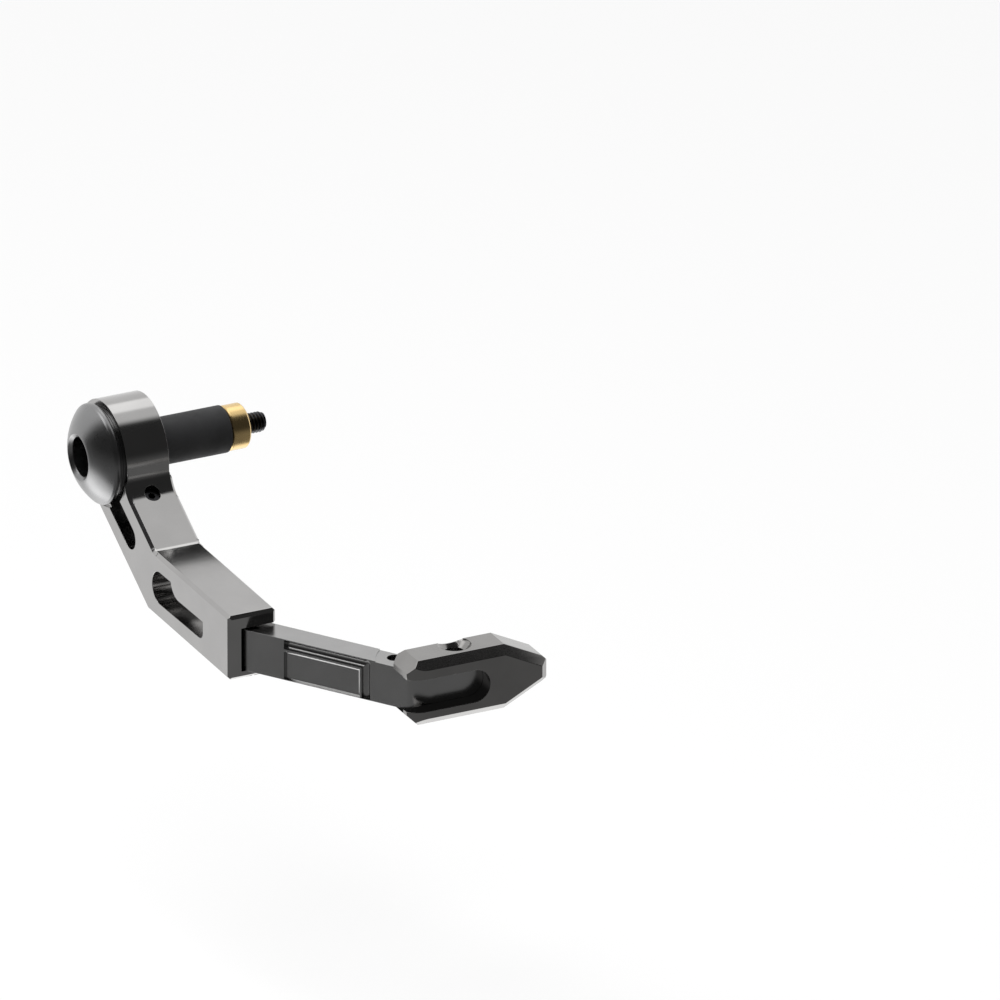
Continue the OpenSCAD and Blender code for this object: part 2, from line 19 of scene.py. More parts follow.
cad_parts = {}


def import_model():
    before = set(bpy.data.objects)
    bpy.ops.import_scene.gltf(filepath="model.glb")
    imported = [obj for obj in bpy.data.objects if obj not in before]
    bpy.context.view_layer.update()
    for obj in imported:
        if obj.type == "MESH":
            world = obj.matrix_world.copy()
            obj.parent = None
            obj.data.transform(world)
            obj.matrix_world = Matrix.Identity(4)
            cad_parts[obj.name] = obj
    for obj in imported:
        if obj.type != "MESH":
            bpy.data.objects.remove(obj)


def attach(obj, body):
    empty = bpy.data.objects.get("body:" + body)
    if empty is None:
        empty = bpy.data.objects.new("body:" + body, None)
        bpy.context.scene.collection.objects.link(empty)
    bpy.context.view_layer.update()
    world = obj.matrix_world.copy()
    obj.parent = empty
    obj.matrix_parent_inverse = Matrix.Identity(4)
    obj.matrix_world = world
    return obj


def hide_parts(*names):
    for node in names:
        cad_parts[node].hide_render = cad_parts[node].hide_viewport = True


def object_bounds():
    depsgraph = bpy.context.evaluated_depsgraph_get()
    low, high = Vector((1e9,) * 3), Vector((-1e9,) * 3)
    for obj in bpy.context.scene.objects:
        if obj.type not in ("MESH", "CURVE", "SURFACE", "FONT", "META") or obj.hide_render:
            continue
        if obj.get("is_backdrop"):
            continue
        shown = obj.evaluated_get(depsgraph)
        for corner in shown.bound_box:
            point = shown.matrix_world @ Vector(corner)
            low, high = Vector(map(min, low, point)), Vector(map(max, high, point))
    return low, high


LOG = logging.getLogger("lever_guard")
MM = 0.001
Colour = tuple[float, float, float]


# ---------------------------------------------------------------- shader wiring


class Signal:
    """A number on a node tree's wire, on which Python's operators add Math nodes."""

    def __init__(self, bench: Bench, socket: bpy.types.NodeSocket) -> None:
        """Wraps a socket.

        Args:
            bench: the node tree's builder.
            socket: the output that carries the number.
        """
        self.bench = bench
        self.socket = socket

    def _math(self, operation: str, *operands: Signal | float) -> Signal:
        """Adds a Math node.

        Args:
            operation: the node's operation.
            operands: its inputs, in order.

        Returns:
            The node's result.
        """
        node = self.bench.add("ShaderNodeMath", {"operation": operation}, dict(enumerate(operands)))
        return Signal(self.bench, node.outputs[0])

    def __add__(self, other: Signal | float) -> Signal:
        """The sum."""
        return self._math("ADD", self, other)

    __radd__ = __add__

    def __mul__(self, other: Signal | float) -> Signal:
        """The product."""
        return self._math("MULTIPLY", self, other)

    __rmul__ = __mul__

    def __sub__(self, other: Signal | float) -> Signal:
        """The difference."""
        return self._math("SUBTRACT", self, other)

    def __rsub__(self, other: float) -> Signal:
        """The difference from a plain number."""
        return self._math("SUBTRACT", other, self)

    def __abs__(self) -> Signal:
        """The size without its sign."""
        return self._math("ABSOLUTE", self)

    def root(self) -> Signal:
        """The square root."""
        return self._math("SQRT", self)

    def at_least(self, other: Signal | float) -> Signal:
        """The larger of the two."""
        return self._math("MAXIMUM", self, other)

    def ramp(self, low: float, high: float) -> Signal:
        """Rises smoothly from 0 at low to 1 at high.

        Args:
            low: the value that gives 0.
            high: the value that gives 1.

        Returns:
            The eased share.
        """
        node = self.bench.add(
            "ShaderNodeMapRange",
            {"interpolation_type": "SMOOTHSTEP"},
            {"Value": self, "From Min": low, "From Max": high},
        )
        return Signal(self.bench, node.outputs[0])


class Bench:
    """Adds nodes to one tree and wires them."""

    def __init__(self, tree: bpy.types.NodeTree) -> None:
        """Empties the tree.

        Args:
            tree: the material's or the world's node tree.
        """
        self.tree = tree
        tree.nodes.clear()

    def add(
        self,
        kind: str,
        settings: Mapping[str, object] | None = None,
        sockets: Mapping[str | int, object] | None = None,
    ) -> bpy.types.Node:
        """Adds a node.

        Args:
            kind: the node's type.
            settings: what is set on the node first, such as its operation.
            sockets: a value, a Signal or an output for each named or numbered input.

        Returns:
            The node.
        """
        node = self.tree.nodes.new(kind)
        for name, value in (settings or {}).items():
            setattr(node, name, value)
        for name, value in (sockets or {}).items():
            if isinstance(value, Signal):
                self.tree.links.new(value.socket, node.inputs[name])
            elif isinstance(value, bpy.types.NodeSocket):
                self.tree.links.new(value, node.inputs[name])
            else:
                node.inputs[name].default_value = value
        return node

    def signal(self, kind: str, output: str | int = 0, **sockets: object) -> Signal:
        """Adds a node that needs no settings, and gives one of its outputs.

        Args:
            kind: the node's type.
            output: the output's name or number.
            sockets: the inputs, with _ for a space.

        Returns:
            The output as a Signal.
        """
        node = self.add(kind, None, {name.replace("_", " "): v for name, v in sockets.items()})
        return Signal(self, node.outputs[output])

    def place(self) -> bpy.types.NodeSocket:
        """The Object coordinates, in metres in the CAD frame."""
        return self.add("ShaderNodeTexCoord").outputs["Object"]

    def axes(self, vector: bpy.types.NodeSocket) -> tuple[Signal, Signal, Signal]:
        """Splits a vector.

        Args:
            vector: the vector's output.

        Returns:
            Its x, y and z.
        """
        node = self.add("ShaderNodeSeparateXYZ", None, {0: vector})
        return tuple(Signal(self, out) for out in node.outputs)

    def vector(
        self, x: Signal | float, y: Signal | float, z: Signal | float
    ) -> bpy.types.NodeSocket:
        """Joins three numbers to a vector."""
        return self.add("ShaderNodeCombineXYZ", None, {0: x, 1: y, 2: z}).outputs[0]

    def noise(self, where: bpy.types.NodeSocket, scale: float, detail: float = 2.0) -> Signal:
        """Adds a noise texture.

        Args:
            where: the coordinates.
            scale: repeats per metre.
            detail: the number of finer layers.

        Returns:
            The noise, from about 0.3 to 0.7.
        """
        return self.signal("ShaderNodeTexNoise", 0, Vector=where, Scale=scale, Detail=detail)

    def blend(self, share: Signal | float, first: object, second: object) -> bpy.types.NodeSocket:
        """Mixes two colours.

        Args:
            share: how much of the second colour there is.
            first: a colour or a colour output.
            second: a colour or a colour output.

        Returns:
            The mixed colour.
        """
        inks = [(*c, 1.0) if isinstance(c, tuple) else c for c in (first, second)]
        settings = {"data_type": "RGBA", "clamp_factor": True}
        return self.add("ShaderNodeMix", settings, {0: share, 6: inks[0], 7: inks[1]}).outputs[2]


# ---------------------------------------------------------------- finishes


# Repeats per metre of the patterns that all finishes share, with their detail.
CLOUD = (90.0, 3.0)
SMEAR = (380.0, 4.0)
CHIPS = (900.0, 3.0)
# The noise is cut off outside these values.
CLOUD_RANGE = (0.3, 0.7)
CHIPS_RANGE = (0.35, 0.6)
# How far a bevelled normal turns from the plain one, as 1 less their dot product, at an edge.
EDGE_RANGE = (0.01, 0.2)
EDGE_SAMPLES = 4
# The grain's height as a share of its size, and the least roughness of any finish.
GRAIN_HEIGHT = 0.25
LEAST_ROUGH = 0.05


class Grain(Enum):
    """The texture that the last machining or blasting leaves on a surface."""

    BLASTED = "blasted"
    TURNED = "turned"
    MOULDED = "moulded"


@dataclass(frozen=True)
class Finish:
    """A metal or rubber surface, with its grain and the wear along its edges."""

    name: str
    colour: Colour
    edge_colour: Colour
    roughness: float
    metallic: float = 1.0
    grain: Grain = Grain.BLASTED
    grain_mm: float = 0.12
    bump: float = 0.12
    tint: float = 0.12
    smudge: float = 0.05
    wear: float = 0.5
    edge_mm: float = 0.35

    def _grain(self, bench: Bench, place: bpy.types.NodeSocket) -> Signal:
        """The fine texture, as a height from about 0 to 1.

        Args:
            bench: the material's builder.
            place: the Object coordinates.

        Returns:
            The height.
        """
        pitch = 1 / (self.grain_mm * MM)
        x, y, z = bench.axes(place)
        if self.grain is Grain.TURNED:
            radius = (y * y + z * z).root()
            return bench.noise(bench.vector(x * pitch, radius * pitch, 0.0), 1.0, 1.0)
        if self.grain is Grain.MOULDED:
            return bench.noise(place, pitch, 4.0)
        return bench.noise(place, pitch, 1.0)

    def _edges(self, bench: Bench) -> Signal:
        """How near an outside or inside edge the surface is, from 0 to 1."""
        radius = {"Radius": self.edge_mm * MM}
        rounded = bench.add("ShaderNodeBevel", {"samples": EDGE_SAMPLES}, radius)
        plain = bench.add("ShaderNodeNewGeometry").outputs["Normal"]
        match = bench.add(
            "ShaderNodeVectorMath", {"operation": "DOT_PRODUCT"}, {0: rounded.outputs[0], 1: plain}
        )
        return (1.0 - Signal(bench, match.outputs["Value"])).ramp(*EDGE_RANGE)

    def material(self) -> bpy.types.Material:
        """Builds the finish's material.

        Returns:
            The material.
        """
        made = bpy.data.materials.new(self.name)
        made.use_nodes = True
        bench = Bench(made.node_tree)
        place = bench.place()
        grain = self._grain(bench, place)
        cloud = bench.noise(place, *CLOUD)
        smear = bench.noise(place, *SMEAR)
        edge = self._edges(bench) * bench.noise(place, *CHIPS).ramp(*CHIPS_RANGE)
        darker = tuple(c * (1 - self.tint) for c in self.colour)
        paler = tuple(c * (1 + self.tint) for c in self.colour)
        body = bench.blend(cloud.ramp(*CLOUD_RANGE), darker, paler)
        colour = bench.blend(edge * self.wear, body, self.edge_colour)
        rough = self.roughness + (smear - 0.5) * self.smudge * 2 + (grain - 0.5) * self.smudge
        height = self.grain_mm * MM * GRAIN_HEIGHT
        bump = bench.add(
            "ShaderNodeBump", None, {"Strength": self.bump, "Distance": height, "Height": grain}
        )
        shader = bench.add(
            "ShaderNodeBsdfPrincipled",
            None,
            {
                "Base Color": colour,
                "Metallic": self.metallic,
                "Roughness": rough.at_least(LEAST_ROUGH),
                "Normal": bump.outputs[0],
            },
        )
        out = bench.add("ShaderNodeOutputMaterial")
        made.node_tree.links.new(shader.outputs[0], out.inputs["Surface"])
        return made


ARM_GREY = Finish(
    "titanium_grey_anodised",
    (0.395, 0.39, 0.385),
    (0.62, 0.61, 0.6),
    0.13,
    grain_mm=0.09,
    bump=0.02,
    tint=0.03,
    smudge=0.015,
    wear=0.35,
)
LINK_GREY = Finish(
    "dark_grey_anodised",
    (0.36, 0.358, 0.356),
    (0.55, 0.55, 0.55),
    0.2,
    bump=0.07,
    tint=0.04,
    smudge=0.03,
    wear=0.12,
)
TIP_GREY = Finish(
    "charcoal_anodised",
    (0.29, 0.284, 0.278),
    (0.5, 0.5, 0.49),
    0.18,
    bump=0.07,
    tint=0.05,
    smudge=0.03,
    wear=0.4,
)
DOME_GREY = Finish(
    "turned_satin_anodised",
    (0.26, 0.26, 0.262),
    (0.5, 0.5, 0.5),
    0.29,
    grain=Grain.TURNED,
    grain_mm=0.07,
    bump=0.08,
    tint=0.04,
    smudge=0.05,
    wear=0.35,
)
BLACK_STEEL = Finish(
    "black_oxide_steel",
    (0.045, 0.045, 0.048),
    (0.16, 0.16, 0.16),
    0.34,
    grain_mm=0.06,
    bump=0.08,
    wear=0.5,
    edge_mm=0.12,
)
BUNG_RUBBER = Finish(
    "bung_rubber",
    (0.022, 0.022, 0.023),
    (0.04, 0.04, 0.04),
    0.72,
    metallic=0.0,
    grain=Grain.MOULDED,
    grain_mm=0.3,
    bump=0.25,
    tint=0.2,
    smudge=0.12,
    wear=0.3,
)
NUT_BRASS = Finish(
    "turned_brass",
    (0.72, 0.52, 0.24),
    (0.85, 0.66, 0.38),
    0.26,
    grain=Grain.TURNED,
    grain_mm=0.08,
    bump=0.1,
    tint=0.08,
    smudge=0.06,
    wear=0.3,
)


# ---------------------------------------------------------------- modelling helpers


def only(piece: bpy.types.Object) -> bpy.types.Object:
    """Selects one object alone and makes it active."""
    bpy.ops.object.select_all(action="DESELECT")
    piece.select_set(True)
    bpy.context.view_layer.objects.active = piece
    return piece


def in_edit(piece: bpy.types.Object, work: Callable[[], None]) -> None:
    """Runs mesh operators on all of a piece in edit mode.

    Args:
        piece: the mesh object.
        work: the operators.
    """
    only(piece)
    bpy.ops.object.mode_set(mode="EDIT")
    bpy.ops.mesh.select_all(action="SELECT")
    work()
    bpy.ops.object.mode_set(mode="OBJECT")


def pick(piece: bpy.types.Object, wanted: Callable[[bpy.types.MeshEdge], bool]) -> None:
    """Selects, in object mode, only the edges that a test wants.

    Args:
        piece: the mesh object.
        wanted: the test of an edge.
    """
    mesh = piece.data
    for part in (mesh.polygons, mesh.edges, mesh.vertices):
        part.foreach_set("select", [False] * len(part))
    for edge in mesh.edges:
        edge.select = wanted(edge)


def apply(piece: bpy.types.Object, kind: str, **settings: object) -> None:
    """Adds a modifier and applies it.

    Args:
        piece: the mesh object.
        kind: the modifier's type.
        settings: the modifier's settings.
    """
    only(piece)
    modifier = piece.modifiers.new(kind.lower(), kind)
    for name, value in settings.items():
        setattr(modifier, name, value)
    bpy.ops.object.modifier_apply(modifier=modifier.name)


def cylinder(sides: int, radius: float, high: float, middle: float) -> bpy.types.Object:
    """Adds an upright cylinder on the z axis, with its place in its mesh.

    Args:
        sides: the number of sides.
        radius: the radius.
        high: the height.
        middle: the height of its middle over the origin.

    Returns:
        The cylinder.
    """
    bpy.ops.object.select_all(action="DESELECT")
    bpy.ops.mesh.primitive_cylinder_add(
        vertices=sides, radius=radius, depth=high, location=(0, 0, middle)
    )
    bpy.ops.object.transform_apply(location=True, rotation=False, scale=False)
    return bpy.context.object


def smoothed(piece: bpy.types.Object, degrees: float) -> bpy.types.Object:
    """Shades a piece smooth, apart from its edges sharper than an angle."""
    only(piece)
    bpy.ops.object.shade_smooth_by_angle(angle=math.radians(degrees))
    return piece


@dataclass(frozen=True)
class BrokenEdges:
    """The small rounding that deburring leaves on a machined solid's edges.

    The CAD copy's loose triangles are merged first, within merge_mm. Edges sharper than
    from_degrees are rounded, and those that wide_at picks are rounded more widely.
    """

    width_mm: float = 0.12
    segments: int = 2
    from_degrees: float = 24.0
    wide_mm: float = 0.0
    wide_at: Callable[[Vector], bool] | None = None
    merge_mm: float = 0.002
    wide_segments: int = 6
    flat_degrees: float = 0.3
    smooth_degrees: float = 40.0

    def _round_wide(self, piece: bpy.types.Object) -> None:
        """Rounds more widely the edges whose ends the test picks.

        Args:
            piece: the mesh object.
        """
        group = piece.vertex_groups.new(name="wide")
        group.add([v.index for v in piece.data.vertices if self.wide_at(v.co / MM)], 1.0, "ADD")
        apply(
            piece,
            "BEVEL",
            width=self.wide_mm * MM,
            segments=self.wide_segments,
            limit_method="VGROUP",
            vertex_group=group.name,
        )
        piece.vertex_groups.clear()

    def copy_of(
        self, node: str, name: str, trim: Callable[[bpy.types.Object], None] | None = None
    ) -> bpy.types.Object:
        """Copies a CAD node's shape and breaks its edges.

        Args:
            node: the CAD node.
            name: the new piece's name.
            trim: a last cut, made before the shading is set.

        Returns:
            The piece, with its place in its mesh.
        """
        source = bpy.data.objects[node]
        piece = bpy.data.objects.new(name, source.data.copy())
        bpy.context.scene.collection.objects.link(piece)
        piece.data.materials.clear()

        def clean() -> None:
            """Merges the triangles' corners and joins the flat ones into faces."""
            bpy.ops.mesh.remove_doubles(threshold=self.merge_mm)
            bpy.ops.mesh.dissolve_limited(angle_limit=math.radians(self.flat_degrees))

        # The merge works in millimetres, as its least distance is a millionth of a unit.
        piece.data.transform(Matrix.Scale(1 / MM, 4))
        in_edit(piece, clean)
        piece.data.transform(Matrix.Scale(MM, 4))
        if self.wide_at:
            self._round_wide(piece)
        apply(
            piece,
            "BEVEL",
            width=self.width_mm * MM,
            segments=self.segments,
            limit_method="ANGLE",
            angle_limit=math.radians(self.from_degrees),
            use_clamp_overlap=False,
            miter_outer="MITER_ARC",
        )
        if trim:
            trim(piece)
        smoothed(piece, self.smooth_degrees)
        apply(piece, "WEIGHTED_NORMAL", keep_sharp=True)
        return piece


# Proportions of a socket head, as shares of its height, and its knurls' depth as a share of
# its radius. Each knurl has four corners round the head.
HEAD_BAND = 0.14
HEAD_CHAMFER = 0.05
HEAD_CHAMFER_IN = 0.35 / 6
KNURL_DEPTH = 0.045
KNURL_CORNERS = 4
KNURL_VALLEY = (2, 3)
# Proportions of a thread, as shares of its pitch, and of its shank's radius.
THREAD_DEPTH = 0.54
THREAD_FLANK = 1.3
THREAD_START = 1.2
THREAD_START_DEPTH = 0.9
THREAD_FADE = 1.5
THREAD_SIDES = 64
THREAD_SHRINK = 0.995
THREAD_ROWS_FIRST = 2
THREAD_ROWS_EACH = 8
SHANK_SHRINK = 0.997
# A plain shank shorter than the first is left out, and it laps the thread by half the second.
LEAST_SHANK_MM = 0.2
SHANK_LAP_MM = 0.4
SCREW_SMOOTH_DEGREES = 30.0
ROW_MM = 0.01
CLOSE = 1e-7


@dataclass(frozen=True)
class SocketScrew:
    """A knurled socket head screw with a cut thread, standing on its head's seat.

    The shank and the head are given by their radius, and the socket by its width across flats.
    """

    shank_mm: float
    head_mm: float
    head_high_mm: float
    socket_mm: float
    length_mm: float
    pitch_mm: float
    thread_mm: float
    knurls: int = 36

    def _head(self) -> bpy.types.Object:
        """The head, with its knurled side, its chamfer and its hexagon socket."""
        radius, high = self.head_mm * MM, self.head_high_mm * MM
        corners = self.knurls * KNURL_CORNERS
        head = cylinder(corners, radius, high, high / 2)
        rim = high * (1 - HEAD_CHAMFER)

        def shape() -> None:
            """Cuts the side where the chamfer begins and where the knurls end."""
            bpy.ops.mesh.bisect(plane_co=(0, 0, rim), plane_no=(0, 0, 1))
            bpy.ops.mesh.select_all(action="SELECT")
            bpy.ops.mesh.bisect(plane_co=(0, 0, high * HEAD_BAND), plane_no=(0, 0, 1))

        in_edit(head, shape)
        step = 2 * math.pi / corners
        for vertex in head.data.vertices:
            turn = round(math.atan2(vertex.co.y, vertex.co.x) / step) % KNURL_CORNERS
            shrink = 1.0
            if vertex.co.z > rim + CLOSE:
                shrink = 1 - HEAD_CHAMFER_IN * high / radius
            elif turn in KNURL_VALLEY:
                shrink = 1 - KNURL_DEPTH
            vertex.co.x *= shrink
            vertex.co.y *= shrink
        across = self.socket_mm * MM / 2 / math.cos(math.radians(30))
        key = cylinder(6, across, high, high)
        apply(head, "BOOLEAN", operation="DIFFERENCE", object=key, solver="EXACT")
        bpy.data.objects.remove(key)
        return head

    def _cut_rows(self, shank: bpy.types.Object, cuts: int) -> None:
        """Cuts a shank's upright edges into equal lengths.

        Args:
            shank: the shank.
            cuts: the number of cuts in each edge.
        """
        heights = [v.co.z for v in shank.data.vertices]
        least = ROW_MM * MM
        pick(shank, lambda e: abs(heights[e.vertices[0]] - heights[e.vertices[1]]) > least)
        only(shank)
        bpy.context.tool_settings.mesh_select_mode = (False, True, False)
        bpy.ops.object.mode_set(mode="EDIT")
        bpy.ops.mesh.subdivide(number_cuts=cuts)
        bpy.ops.object.mode_set(mode="OBJECT")
        bpy.context.tool_settings.mesh_select_mode = (True, False, False)

    def _shank(self) -> bpy.types.Object:
        """The shank, whose lower stretch carries a helical thread with a tapered start."""
        radius, length, pitch = self.shank_mm * MM, self.length_mm * MM, self.pitch_mm * MM
        thread = self.thread_mm * MM
        depth = THREAD_DEPTH * pitch
        shank = cylinder(THREAD_SIDES, radius * THREAD_SHRINK, thread, thread / 2 - length)
        # One subdivide makes 100 cuts at most, so the rows are cut in two rounds.
        for rows in (int(thread / pitch * THREAD_ROWS_FIRST), THREAD_ROWS_EACH):
            self._cut_rows(shank, rows - 1)
        for vertex in shank.data.vertices:
            turn = math.atan2(vertex.co.y, vertex.co.x) / (2 * math.pi)
            phase = (vertex.co.z / pitch - turn) % 1.0
            cut = depth * (1 - min(1.0, abs(2 * phase - 1) * THREAD_FLANK))
            start = min(1.0, (vertex.co.z + length) / (THREAD_START * pitch))
            fade = min(1.0, (thread - length - vertex.co.z) / (THREAD_FADE * pitch))
            taper = depth * (1 - start) * THREAD_START_DEPTH
            shrink = (radius - cut * max(0.0, fade) - taper) / radius
            vertex.co.x *= shrink
            vertex.co.y *= shrink
        plain = length - thread
        if plain > LEAST_SHANK_MM * MM:
            long = plain + SHANK_LAP_MM * MM
            body = cylinder(THREAD_SIDES, radius * SHANK_SHRINK, long, -plain / 2)
            body.select_set(True)
            shank.select_set(True)
            bpy.context.view_layer.objects.active = shank
            bpy.ops.object.join()
        return shank

    def build(self, name: str, place: Matrix) -> bpy.types.Object:
        """Makes the screw and puts it in its place.

        Args:
            name: the piece's name.
            place: where the seat of the head goes, with z out of the head.

        Returns:
            The piece.
        """
        head, shank = self._head(), self._shank()
        only(head)
        shank.select_set(True)
        bpy.ops.object.join()
        screw = bpy.context.object
        screw.name = name
        screw.data.transform(place)
        return smoothed(screw, SCREW_SMOOTH_DEGREES)


# ---------------------------------------------------------------- the object's sub-assemblies


@dataclass
class SubAssembly:
    """A group of pieces that ride on one CAD body."""

    body: str
    made: list[bpy.types.Object] = field(default_factory=list)

    def dress(
        self, piece: bpy.types.Object, finish: bpy.types.Material, slot: str, *nodes: str
    ) -> bpy.types.Object:
        """Gives a piece its finish, its body and the nodes that it stands for.

        Args:
            piece: the mesh object.
            finish: its material.
            slot: the name of a material slot; not used.
            nodes: the CAD nodes that it replaces.

        Returns:
            The piece.
        """
        piece.data.materials.clear()
        piece.data.materials.append(finish)
        for polygon in piece.data.polygons:
            polygon.material_index = 0
        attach(piece, self.body)
        if nodes:
            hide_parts(*nodes)
        self.made.append(piece)
        return piece


@dataclass
class BarEnd(SubAssembly):
    """The domed end cap with its bolt, and the rubber bung and cone nut in the bar."""

    body: str = "bar_end"
    seat_x_mm: float = -8.3
    seat_gap_mm: float = 0.05
    bolt: SocketScrew = SocketScrew(
        shank_mm=3.0,
        head_mm=5.0,
        head_high_mm=6.0,
        socket_mm=5.0,
        length_mm=45.0,
        pitch_mm=1.0,
        thread_mm=24.0,
    )

    def build(self, paint: Mapping[str, bpy.types.Material]) -> None:
        """Makes the cap, the bolt, the bung and the nut.

        Args:
            paint: the materials by their finish's name.
        """
        dome = BrokenEdges(0.15, 3, merge_mm=0.00002).copy_of("end_cap", "turned_dome")
        self.dress(dome, paint[DOME_GREY.name], "dark_anodised", "end_cap")
        seat = Matrix.Translation(((self.seat_x_mm - self.seat_gap_mm) * MM, 0, 0))
        place = seat @ Matrix.Rotation(math.radians(-90), 4, "Y")
        bolt = self.bolt.build("expander_bolt", place)
        self.dress(bolt, paint[BLACK_STEEL.name], "black_steel", "cap_bolt")
        bung = BrokenEdges(0.3, 3).copy_of("expander_bung", "split_bung")
        self.dress(bung, paint[BUNG_RUBBER.name], "bung_rubber", "expander_bung")
        nut = BrokenEdges(0.12, 2).copy_of("cone_nut", "brass_cone")
        self.dress(nut, paint[NUT_BRASS.name], "nut_brass", "cone_nut")


@dataclass
class ClampArm(SubAssembly):
    """The split ring and its windowed arm, with the screw that closes the clamp."""

    body: str = "guard"
    slope: float = 31.5
    screw_along_mm: float = 19.0
    screw_across_mm: float = -0.2
    screw_x_mm: float = -6.8
    seat_gap_mm: float = 0.05
    screw: SocketScrew = SocketScrew(
        shank_mm=1.25,
        head_mm=2.25,
        head_high_mm=2.5,
        socket_mm=2.0,
        length_mm=14.0,
        pitch_mm=0.45,
        thread_mm=13.0,
        knurls=24,
    )
    ring_r_mm: float = 15.5
    bevel_mm: float = 0.95
    outer_x_mm: float = -14.3
    inner_x_mm: float = 0.7
    run_out_mm: tuple[float, float] = (-2.5, 6.3)
    skin_mm: float = 0.01

    def _run_out_bevels(self, arm: bpy.types.Object) -> None:
        """Runs the bevels of the lower edges out into the turned reliefs beside the ring.

        Args:
            arm: the arm, with its edges broken.
        """
        tilt = math.radians(self.slope)
        along = Vector((0, -math.cos(tilt), -math.sin(tilt)))
        up = Vector((0, -math.sin(tilt), math.cos(tilt)))
        start, end = self.run_out_mm
        # The cutter is a bar wider than the bevel, with one face on the bevel's plane.
        side = 3 * self.bevel_mm
        for x_mm, inward in ((self.outer_x_mm, 1.0), (self.inner_x_mm, -1.0)):
            out = (Vector((-inward, 0, 0)) - up).normalized()
            corner = Vector((x_mm, 0, 0)) - up * self.ring_r_mm + along * ((start + end) / 2)
            depth = side / 2 - self.bevel_mm / math.sqrt(2) + self.skin_mm
            turn = Matrix((along, out.cross(along), out)).transposed().to_4x4()
            only(arm)
            bpy.ops.mesh.primitive_cube_add(size=1.0)
            cutter = bpy.context.object
            cutter.data.transform(Matrix.Diagonal((end - start, side, side, 1.0)))
            cutter.data.transform(Matrix.Translation(corner + out * depth) @ turn)
            cutter.data.transform(Matrix.Scale(MM, 4))
            apply(arm, "BOOLEAN", operation="DIFFERENCE", object=cutter, solver="EXACT")
            bpy.data.objects.remove(cutter)

    def build(self, paint: Mapping[str, bpy.types.Material]) -> None:
        """Makes the arm and its clamp screw.

        Args:
            paint: the materials by their finish's name.
        """
        edges = BrokenEdges(0.12, 2)
        arm = edges.copy_of("arm_bracket", "windowed_arm", self._run_out_bevels)
        self.dress(arm, paint[ARM_GREY.name], "grey_anodised", "arm_bracket")
        tilt = math.radians(self.slope)
        t, n = self.screw_along_mm, self.screw_across_mm + self.seat_gap_mm
        ahead = t * math.cos(tilt) + n * math.sin(tilt)
        up = -t * math.sin(tilt) + n * math.cos(tilt)
        seat = Matrix.Translation((self.screw_x_mm * MM, -ahead * MM, up * MM))
        screw = self.screw.build("clamp_closing_screw", seat @ Matrix.Rotation(tilt, 4, "X"))
        self.dress(screw, paint[BLACK_STEEL.name], "black_steel", "clamp_screw")


@dataclass
class LinkAndTip(SubAssembly):
    """The angled link with its recessed panel, the bevelled tip and their screws."""

    body: str = "guard"
    ridge_z_mm: float = -25.7
    ridge_round_mm: float = 0.4
    close_mm: float = 0.02

    def on_ridge(self, place_mm: Vector) -> bool:
        """Whether a point of the link is on the upper edge of the ridge over its panel.

        Args:
            place_mm: the point, in mm.

        Returns:
            True on the ridge.
        """
        return abs(place_mm.z - self.ridge_z_mm) < self.close_mm

    def build(self, paint: Mapping[str, bpy.types.Material]) -> None:
        """Makes the link, the tip and the countersunk screws.

        Args:
            paint: the materials by their finish's name.
        """
        edges = BrokenEdges(0.06, 2, 30.0, self.ridge_round_mm, self.on_ridge)
        link = edges.copy_of("link_blade", "panelled_link")
        self.dress(link, paint[LINK_GREY.name], "dark_anodised", "link_blade")
        tip = BrokenEdges(0.12, 2).copy_of("guard_tip", "bevelled_tip")
        self.dress(tip, paint[TIP_GREY.name], "tip_anodised", "guard_tip")
        screws = {"tip_screw": "tip_fixing_screw", "link_screws": "link_fixing_screws"}
        for node, name in screws.items():
            screw = BrokenEdges(0.05, 2, 30.0).copy_of(node, name)
            self.dress(screw, paint[BLACK_STEEL.name], "black_steel", node)


# ---------------------------------------------------------------- studio


@dataclass(frozen=True)
class SoftBox:
    """A round softbox in the room, seen in reflections."""

    towards: Colour
    outer: float
    inner: float
    power: float

    def glow(self, direction: tuple[Signal, Signal, Signal]) -> Signal:
        """The box's light, which fades in from the outer cosine to the inner one.

        Args:
            direction: the ray's direction.

        Returns:
            The light, from 0 to the box's power.
        """
        length = math.sqrt(sum(c * c for c in self.towards))
        parts = [axis * (c / length) for axis, c in zip(direction, self.towards)]
        return (parts[0] + parts[1] + parts[2]).ramp(self.outer, self.inner) * self.power


